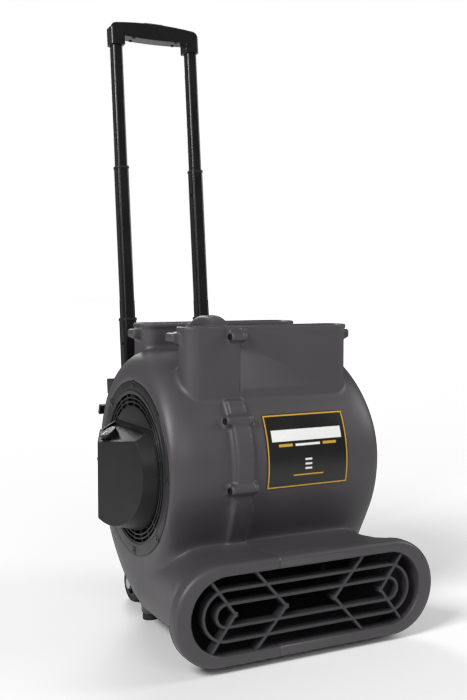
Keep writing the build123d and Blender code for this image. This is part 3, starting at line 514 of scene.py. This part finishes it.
@dataclass
class Places:
    """Where the fan's axis and faces are, read from the frame, in mm."""

    def span(self, node: str) -> tuple[Vector, Vector]:
        """Return a node's box.

        Args:
            node: the CAD node's name.

        Returns:
            Lowest and highest corners in mm.
        """
        low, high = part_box(node)
        return Vector(low) * 1000, Vector(high) * 1000

    def middle(self, node: str) -> Vector:
        """Return the middle of a node's box in mm."""
        low, high = self.span(node)
        return (low + high) / 2


@dataclass
class InletGuard:
    """Round inlet grille with a screwed rim, soft rings and radial ribs."""

    side: str
    outward: int
    ring_radii: tuple
    plate_radius: float
    hole_radius: float
    body: str = "chassis"
    rib_count: int = 24
    screw_count: int = 8
    screw_circle: float = 132.0
    boss_radius: float = 6.5
    boss_height: float = 1.4

    def build(self, places: Places, looks: Wardrobe) -> None:
        """Build the guard and its screws.

        Args:
            places: the frame's places.
            looks: the finishes.
        """
        node = "inlet_grille_" + self.side
        low, high = places.span(node)
        centre = places.middle(node)
        axis = (centre.y, centre.z)
        face = low.x if self.outward < 0 else high.x
        inward = -self.outward
        grille = looks.get("black")

        def across(start: float, end: float, inner: float, outer: float, soft: float) -> list:
            """Profile of one ring between two depths behind the grille's face."""
            a, b = sorted((face + inward * start, face + inward * end))
            return soft_section(a, b, inner, outer, soft)

        pieces = [turned(node + "_rim", across(-0.4, 3, 116, 137, 1.2), axis, grille, 128)]
        pieces.append(turned(node + "_step", across(-1.2, 1, 119, 123.5, 0.8), axis, grille, 128))
        for radius in self.ring_radii:
            pieces.append(turned(node + "_ring", across(0, 4.5, radius - 1.2, radius + 1.2, 0.9), axis, grille, 96))
        pieces.append(turned(node + "_plate", across(0, 3, self.hole_radius, self.plate_radius, 0.8), axis, grille, 96))
        reach = 117 - self.plate_radius + 1
        rib = soft_block(
            (6.5, reach, 2.2), (face + inward * 4.6, self.plate_radius - 1 + reach / 2, 0), grille, "rib", 0.6
        )
        pieces.append(RingArray(node + "_ribs", self.rib_count, axis).repeat(rib, grille))
        low_x, high_x = sorted((face, face + self.outward * self.boss_height))
        boss_profile = soft_section(low_x, high_x, 0.2, self.boss_radius, 0.6)
        boss = turned("boss", boss_profile, (self.screw_circle, 0), grille, 20)
        pieces.append(RingArray(node + "_bosses", self.screw_count, axis).repeat(boss, grille))
        guard = join(node + "_guard", pieces)
        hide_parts(node)
        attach(guard, self.body)
        log.info("built %s", guard.name)


@dataclass
class ScrewHeads:
    """Dome-headed screws with a recess, one array a ring."""

    dome_mm: float = 1.8
    head_mm: float = 4.0

    def head(self, x: float, outward: int, radius: float, material: bpy.types.Material) -> bpy.types.Object:
        """Model one screw head out along X at a radius from the array's axis.

        Args:
            x: the seat's x in mm.
            outward: -1 or +1 along X.
            radius: the screw circle's radius in mm.
            material: its finish.

        Returns:
            The screw head.
        """
        dome = [
            (x + outward * self.dome_mm * math.cos(a) ** 0.8, self.head_mm * math.sin(a))
            for a in np.linspace(0.35, math.pi / 2, 6)
        ]
        recess = [
            (x + outward * self.dome_mm * 0.35, 0.05),
            (x + outward * self.dome_mm * 0.35, 1.25),
            (x + outward * self.dome_mm * 0.93, 1.35),
        ]
        shaft = [(x, 2.0), (x - outward * 7.5, 2.0), (x - outward * 8.0, 0.05)]
        return turned("screw", recess + dome + shaft, (radius, 0), material, 20)

    def build(self, places: Places, looks: Wardrobe) -> None:
        """Build both rings of inlet screws.

        Args:
            places: the frame's places.
            looks: the finishes.
        """
        rings = []
        for side, outward in (("left", -1), ("right", 1)):
            low, high = places.span("inlet_grille_" + side)
            centre = places.middle("inlet_grille_" + side)
            seat = (low.x if outward < 0 else high.x) + outward * 0.2
            head = self.head(seat, outward, 132.0, looks.get("black_steel"))
            rings.append(RingArray("screws_" + side, 8, (centre.y, centre.z)).repeat(head, looks.get("black_steel")))
        screws = join("inlet_screw_heads", rings)
        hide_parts("inlet_grille_screws")
        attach(screws, "chassis")
        log.info("built %s", screws.name)


@dataclass
class BlowerCage:
    """Squirrel-cage blower with curved blades."""

    blades: int = 36
    inner: float = 95.0
    outer: float = 112.0
    blade_mm: float = 1.6

    def build(self, places: Places, looks: Wardrobe) -> None:
        """Build the blower wheel.

        Args:
            places: the frame's places.
            looks: the finishes.
        """
        low, high = places.span("blower_wheel")
        middle = places.middle("blower_wheel")
        axis = (middle.y, middle.z)
        black = looks.get("black")
        pieces = [
            turned("ring_a", soft_section(low.x, low.x + 4, self.inner, self.outer, 1.0), axis, black),
            turned("ring_b", soft_section(high.x - 4, high.x, self.inner, self.outer, 1.0), axis, black),
            turned("disc", soft_section(middle.x - 1.5, middle.x + 1.5, 8.0, self.outer, 0.6), axis, black),
            turned("boss", soft_section(middle.x - 20, middle.x + 20, 8.0, 17.0, 1.5), axis, black, 48),
        ]
        arc = []
        for i in range(9):
            t = i / 8
            radius = self.inner + 0.3 + (self.outer - self.inner - 0.6) * t
            arc.append((radius, 0.16 * math.sin(t * math.pi * 0.5) * (1 - 0.25 * t)))
        outline = []
        for offset in (0.5, -0.5):
            side = [
                (r * math.cos(a + offset * self.blade_mm / r), r * math.sin(a + offset * self.blade_mm / r))
                for r, a in arc
            ]
            outline += side if offset > 0 else side[::-1]
        count = len(outline)
        points = [(x * MM, y * MM, z * MM) for x in (low.x + 1, high.x - 1) for y, z in outline]
        faces = [[i, (i + 1) % count, (i + 1) % count + count, i + count] for i in range(count)]
        faces += [list(range(count))[::-1], list(range(count, 2 * count))]
        blade = mesh_object("blade", points, faces, black)
        pieces.append(RingArray("blower_blades", self.blades, axis).repeat(blade, black))
        cage = join("blower_cage", pieces)
        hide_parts("blower_wheel")
        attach(cage, "blower")
        log.info("built %s", cage.name)


@dataclass
class RoadWheel:
    """Small solid wheel with a spoked rim and a grooved tyre."""

    side: str
    spokes: int = 6

    def build(self, places: Places, looks: Wardrobe) -> None:
        """Build the rim and the tyre.

        Args:
            places: the frame's places.
            looks: the finishes.
        """
        low, high = places.span("tyre_" + self.side)
        middle = places.middle("tyre_" + self.side)
        axis = (middle.y, middle.z)
        width = high.x - low.x
        black, rubber = looks.get("black"), looks.get("rubber")
        tread = [(low.x + 1.0, 22.0), (low.x, 23.5), (low.x, 27.0), (low.x + 1.4, 29.8), (low.x + 3.4, 31.0)]
        for groove in (0.32, 0.5, 0.68):
            x = low.x + width * groove
            tread += [(x - 1.1, 31.0), (x - 0.6, 30.1), (x + 0.6, 30.1), (x + 1.1, 31.0)]
        tread += [(high.x - 3.4, 31.0), (high.x - 1.4, 29.8), (high.x, 27.0), (high.x, 23.5), (high.x - 1.0, 22.0)]
        tyre = turned("tyre_tread_" + self.side, tread, axis, rubber, 72)
        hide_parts("tyre_" + self.side)
        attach(tyre, "wheel_" + self.side)
        pieces = [
            turned("hub", soft_section(low.x, high.x, 5.05, 10.0, 1.0), axis, black, 36),
            turned("band", soft_section(low.x + 0.5, high.x - 0.5, 18.5, 22.0, 0.8), axis, black, 72),
            turned("web", soft_section(middle.x - 2, middle.x + 2, 9.5, 19.0, 0.5), axis, black, 72),
        ]
        spoke = soft_block((width - 4, 10.5, 3.0), (middle.x, 14.2, 0), black, "spoke", 0.6)
        pieces.append(RingArray("spokes_" + self.side, self.spokes, axis).repeat(spoke, black))
        rim = join("rim_spoked_" + self.side, pieces)
        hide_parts("wheel_rim_" + self.side)
        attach(rim, "wheel_" + self.side)
        log.info("built %s and %s", rim.name, tyre.name)


@dataclass
class DrumLabel:
    """Printed label on the front of the drum, with a plain border and plain bars in place of words."""

    node: str = "label_plate"
    lift_mm: float = 0.12

    def __post_init__(self) -> None:
        """Keep the label's surface for the prints to lie on."""
        source = frame["nodes"][self.node]
        mesh = source.data
        points = [source.matrix_world @ v.co for v in mesh.vertices]
        self.surface = BVHTree.FromPolygons(points, [list(p.vertices) for p in mesh.polygons])

    def onto(self, x: float, z: float) -> tuple:
        """Drop a point onto the label from the front.

        Args:
            x: place across in mm.
            z: place up in mm.

        Returns:
            The point in metres, lifted just clear of the label.
        """
        hit, normal, _, _ = self.surface.ray_cast(Vector((x * MM, -1.0, z * MM)), Vector((0, 1, 0)))
        if normal.y > 0:
            normal = -normal
        return tuple(hit + normal * self.lift_mm * MM)

    def patch(self, name: str, low: tuple, high: tuple, material: bpy.types.Material) -> bpy.types.Object:
        """Print one upright rectangle.

        Args:
            name: the piece's name.
            low: its lower left corner, x and z in mm.
            high: its upper right corner in mm.
            material: its ink.

        Returns:
            The printed patch.
        """
        across = max(1, int((high[0] - low[0]) / 6))
        up = max(1, int((high[1] - low[1]) / 3))
        points = [
            self.onto(low[0] + (high[0] - low[0]) * i / across, low[1] + (high[1] - low[1]) * j / up)
            for j in range(up + 1)
            for i in range(across + 1)
        ]
        faces = [
            [j * (across + 1) + i, j * (across + 1) + i + 1, (j + 1) * (across + 1) + i + 1, (j + 1) * (across + 1) + i]
            for j in range(up)
            for i in range(across)
        ]
        mesh = bpy.data.meshes.new(name)
        mesh.from_pydata(points, [], faces)
        mesh.materials.append(material)
        mesh.polygons.foreach_set("use_smooth", [True] * len(mesh.polygons))
        piece = bpy.data.objects.new(name, mesh)
        bpy.context.scene.collection.objects.link(piece)
        return piece

    def build(self, places: Places, looks: Wardrobe) -> None:
        """Print the border and the bars.

        Args:
            places: the frame's places.
            looks: the finishes.
        """
        low, high = places.span(self.node)
        gold, white = looks.get("gold"), looks.get("white")
        left, right, bottom, top = low.x + 1.2, high.x - 1.2, low.z + 1.2, high.z - 1.2
        middle = (left + right) / 2
        line = 2.0
        gold_prints = [
            self.patch("p", (left, bottom), (right, bottom + line), gold),
            self.patch("p", (left, top - line), (right, top), gold),
            self.patch("p", (left, bottom), (left + line, top), gold),
            self.patch("p", (right - line, bottom), (right, top), gold),
            self.patch("p", (left + 20, top - 47), (middle - 27, top - 43), gold),
            self.patch("p", (middle + 27, top - 47), (right - 20, top - 43), gold),
            self.patch("p", (middle - 27, bottom + 17), (middle + 27, bottom + 19), gold),
        ]
        white_prints = [
            self.patch("p", (left + 9, top - 39), (right - 9, top - 22), white),
            self.patch("p", (middle - 22, top - 47), (middle + 22, top - 43.5), white),
            self.patch("p", (middle - 6, bottom + 26), (middle + 6, bottom + 29), white),
            self.patch("p", (middle - 6, bottom + 33), (middle + 6, bottom + 36), white),
            self.patch("p", (middle - 6, bottom + 40), (middle + 6, bottom + 43), white),
        ]
        for name, prints in (("label_gold_print", gold_prints), ("label_white_print", white_prints)):
            ink = join(name, prints)
            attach(ink, "chassis")
            log.info("built %s", ink.name)


@dataclass
class Housing:
    """Moulded housing: one skin with soft blends, parted again at the seam."""

    cell_mm: float = 2.5
    seam_gap_mm: float = 0.3
    face_limit: int = 185000
    quick_extra_mm: float = 1.0
    relax_steps: tuple = (0.55, -0.57, 0.55, -0.57, 0.4)
    shoulder_rounds: int = 14
    throat_rounds: int = 60

    def skin(self) -> bpy.types.Object:
        """Join copies of the two halves and rebuild them as one even skin.

        Returns:
            The skin.
        """
        copies = []
        for name in ("housing_left", "housing_right"):
            source = frame["nodes"][name]
            mesh = source.data.copy()
            mesh.transform(source.matrix_world)
            copy = bpy.data.objects.new("skin", mesh)
            bpy.context.scene.collection.objects.link(copy)
            copies.append(copy)
        whole = join("skin", copies)
        work = bmesh.new()
        work.from_mesh(whole.data)
        bmesh.ops.remove_doubles(work, verts=work.verts, dist=0.00002)
        work.to_mesh(whole.data)
        work.free()
        remesh = whole.modifiers.new("even", "REMESH")
        remesh.mode = "VOXEL"
        remesh.voxel_size = (self.cell_mm + 0.0) * MM
        return settle(whole)

    def soften(self, mesh: bpy.types.Mesh) -> None:
        """Relax the skin, and fill its inside corners where the moulding blends.

        Args:
            mesh: the even skin.
        """
        count = len(mesh.vertices)
        points = np.empty(count * 3)
        mesh.vertices.foreach_get("co", points)
        points = points.reshape(-1, 3)
        edges = np.empty(len(mesh.edges) * 2, dtype=int)
        mesh.edges.foreach_get("vertices", edges)
        start, end = edges.reshape(-1, 2).T
        valence = np.bincount(start, minlength=count) + np.bincount(end, minlength=count)

        def pull(place: np.ndarray) -> np.ndarray:
            """Vector from each point to the average of its neighbours."""
            total = np.stack(
                [
                    np.bincount(start, place[end, k], count) + np.bincount(end, place[start, k], count)
                    for k in range(3)
                ],
                axis=1,
            )
            return total / valence[:, None] - place

        for step in self.relax_steps:
            points += step * pull(points)
        mesh.vertices.foreach_set("co", points.ravel())
        mesh.update()
        normals = np.empty(count * 3)
        mesh.vertices.foreach_get("normal", normals)
        normals = normals.reshape(-1, 3)
        high, deep = points[:, 2] * 1000, points[:, 1] * 1000
        shoulder = np.clip((high - 372) / 12, 0, 1) * np.clip((452 - high) / 8, 0, 1)
        throat = np.clip((high - 120) / 15, 0, 1) * np.clip((215 - high) / 20, 0, 1) * np.clip((-95 - deep) / 20, 0, 1)
        for weight, rounds in ((shoulder, self.shoulder_rounds), (throat, self.throat_rounds)):
            live = np.nonzero(weight > 0)[0]
            for _ in range(rounds):
                move = pull(points)[live]
                outward = np.clip((move * normals[live]).sum(axis=1), 0, None)
                points[live] += 0.6 * weight[live, None] * outward[:, None] * normals[live]
        mesh.vertices.foreach_set("co", points.ravel())
        mesh.update()

    def half(self, skin: bpy.types.Object, side: str, seam: float, material: bpy.types.Material) -> None:
        """Cut one half from the skin and hand it over.

        Args:
            skin: the whole skin.
            side: left or right.
            seam: where the halves meet, in mm.
            material: its finish.
        """
        outward = -1 if side == "left" else 1
        work = bmesh.new()
        work.from_mesh(skin.data)
        cut = bmesh.ops.bisect_plane(
            work,
            geom=work.verts[:] + work.edges[:] + work.faces[:],
            plane_co=Vector(((seam + outward * self.seam_gap_mm / 2) * MM, 0, 0)),
            plane_no=Vector((-outward, 0, 0)),
            clear_outer=True,
        )
        rim = [e for e in cut["geom_cut"] if isinstance(e, bmesh.types.BMEdge)]
        bmesh.ops.triangle_fill(work, edges=rim, use_beauty=True)
        mesh = bpy.data.meshes.new("housing_" + side + "_skin")
        work.to_mesh(mesh)
        work.free()
        part = bpy.data.objects.new(mesh.name, mesh)
        bpy.context.scene.collection.objects.link(part)
        triangles = sum(len(p.vertices) - 2 for p in mesh.polygons)
        if triangles > self.face_limit:
            thin = part.modifiers.new("thin", "DECIMATE")
            thin.ratio = self.face_limit / triangles
            part = settle(part)
            part.name = "housing_" + side + "_skin"
        part.data.polygons.foreach_set("use_smooth", [True] * len(part.data.polygons))
        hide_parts("housing_" + side)
        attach(part, "chassis")
        part.data.materials.clear()
        part.data.materials.append(material)
        log.info("built %s with %d faces", part.name, len(part.data.polygons))

    def build(self, looks: Wardrobe) -> None:
        """Build both halves.

        Args:
            looks: the finishes.
        """
        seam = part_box("housing_right")[0][0] * 1000
        skin = self.skin()
        self.soften(skin.data)
        for side in ("left", "right"):
            self.half(skin, side, seam, looks.get("housing"))
        bpy.data.objects.remove(skin)


@dataclass
class Studio:
    """Pale floor, soft lights and the camera."""

    eye_mm: tuple = (-758.7, -1486.4, 544.4)
    aim: tuple = (0.4617, 0.8846, -0.0652)
    lens_mm: float = 51.47
    world_light: float = 0.2

    def panel(self, name: str, place: tuple, aim: tuple, size: float, watts: float) -> None:
        """Add one soft area light.

        Args:
            name: the light's name.
            place: where it hangs, in metres.
            aim: the point it faces.
            size: its side in metres.
            watts: its power.
        """
        lamp = bpy.data.lights.new(name, "AREA")
        lamp.size = size
        lamp.energy = watts
        holder = bpy.data.objects.new(name, lamp)
        holder.location = place
        holder.rotation_euler = (Vector(aim) - Vector(place)).to_track_quat("-Z", "Y").to_euler()
        bpy.context.scene.collection.objects.link(holder)

    def floor(self) -> None:
        """Lay the pale floor and the world's light."""
        size = 30.0
        mesh = bpy.data.meshes.new("floor")
        mesh.from_pydata([(-size, -size, 0), (size, -size, 0), (size, size, 0), (-size, size, 0)], [], [[0, 1, 2, 3]])
        pale = bpy.data.materials.new("pale_floor")
        pale.use_nodes = True
        shader = pale.node_tree.nodes["Principled BSDF"]
        shader.inputs["Base Color"].default_value = (0.93, 0.93, 0.93, 1)
        shader.inputs["Roughness"].default_value = 0.55
        mesh.materials.append(pale)
        ground = bpy.data.objects.new("floor", mesh)
        bpy.context.scene.collection.objects.link(ground)
        ground.is_shadow_catcher = True
        world = bpy.data.worlds.new("studio")
        world.use_nodes = True
        tree = world.node_tree
        tree.nodes["Background"].inputs["Color"].default_value = (1, 1, 1, 1)
        seen = add_node(tree, "ShaderNodeLightPath").outputs["Is Camera Ray"]
        strength = add_node(
            tree, "ShaderNodeMapRange", {"Value": seen, "To Min": self.world_light, "To Max": 1.0}
        ).outputs[0]
        tree.links.new(strength, tree.nodes["Background"].inputs["Strength"])
        bpy.context.scene.world = world

    def build(self) -> None:
        """Set up the camera, the lights and the floor."""
        self.floor()
        self.panel("key", (-1.9, -1.0, 1.9), (0, 0, 0.4), 0.9, 62)
        self.panel("rim", (2.1, -0.8, 1.4), (0, 0, 0.4), 1.0, 20)
        self.panel("front", (-0.3, -2.6, 1.5), (0, 0, 0.45), 1.2, 14)
        self.panel("back", (0.6, 2.7, 1.7), (0, 0, 0.4), 1.2, 34)
        lens = bpy.data.cameras.new("camera")
        lens.lens = self.lens_mm
        lens.sensor_width = 36.0
        lens.clip_end = 100
        camera = bpy.data.objects.new("camera", lens)
        camera.location = Vector(self.eye_mm) * MM
        camera.rotation_euler = Vector(self.aim).to_track_quat("-Z", "Y").to_euler()
        bpy.context.scene.collection.objects.link(camera)
        bpy.context.scene.camera = camera
        scene = bpy.context.scene
        scene.view_settings.view_transform = "Standard"


@dataclass
class CarriedOver:
    """Finishes for the CAD pieces whose shape stays."""

    slots: dict = field(
        default_factory=lambda: {
            "housing": "housing",
            "black_plastic": "black",
            "blower_plastic": "black",
            "tube_steel": "tube",
            "screw_steel": "zinc",
            "black_screw": "black_steel",
            "motor_paint": "paint",
            "lamination": "laminate",
            "bearing_steel": "chrome",
            "rotor_alloy": "alloy",
            "label": "decal",
            "pointer": "silver",
            "rubber": "rubber",
        }
    )
    special: dict = field(
        default_factory=lambda: {
            "control_hub": "hub",
            "outlet_grille": "grille",
            "speed_knob": "gloss",
            "grip_upper": "gloss",
            "grip_lower": "gloss",
            "release_button": "black",
            "cord_hooks": "gloss",
            "handle_upper_bracket": "black",
            "handle_lower_bracket": "black",
        }
    )

    def build(self, looks: Wardrobe) -> None:
        """Dress every CAD node.

        Args:
            looks: the finishes.
        """
        slot_of = {part["node"]: part["material_slot"] for part in frame["record"]["subparts"]}
        for name, piece in frame["nodes"].items():
            finish = self.special.get(name, self.slots[slot_of[name]])
            if not piece.material_slots:
                piece.data.materials.append(None)
            for slot in piece.material_slots:
                slot.material = looks.get(finish)
        log.info("dressed %d carried-over pieces", len(frame["nodes"]))


def main() -> None:
    """Build the object's look piece by piece."""
    logging.basicConfig(level=logging.INFO, format="%(message)s")
    looks = Wardrobe()
    places = Places()
    Studio().build()
    CarriedOver().build(looks)
    Housing().build(looks)
    InletGuard("left", -1, (110.5, 104.0), 98.0, 25.0).build(places, looks)
    InletGuard("right", 1, tuple(range(30, 116, 8)), 22.0, 6.0).build(places, looks)
    ScrewHeads().build(places, looks)
    BlowerCage().build(places, looks)
    for side in ("left", "right"):
        RoadWheel(side).build(places, looks)
    DrumLabel().build(places, looks)


if __name__ == "__main__":
    main()
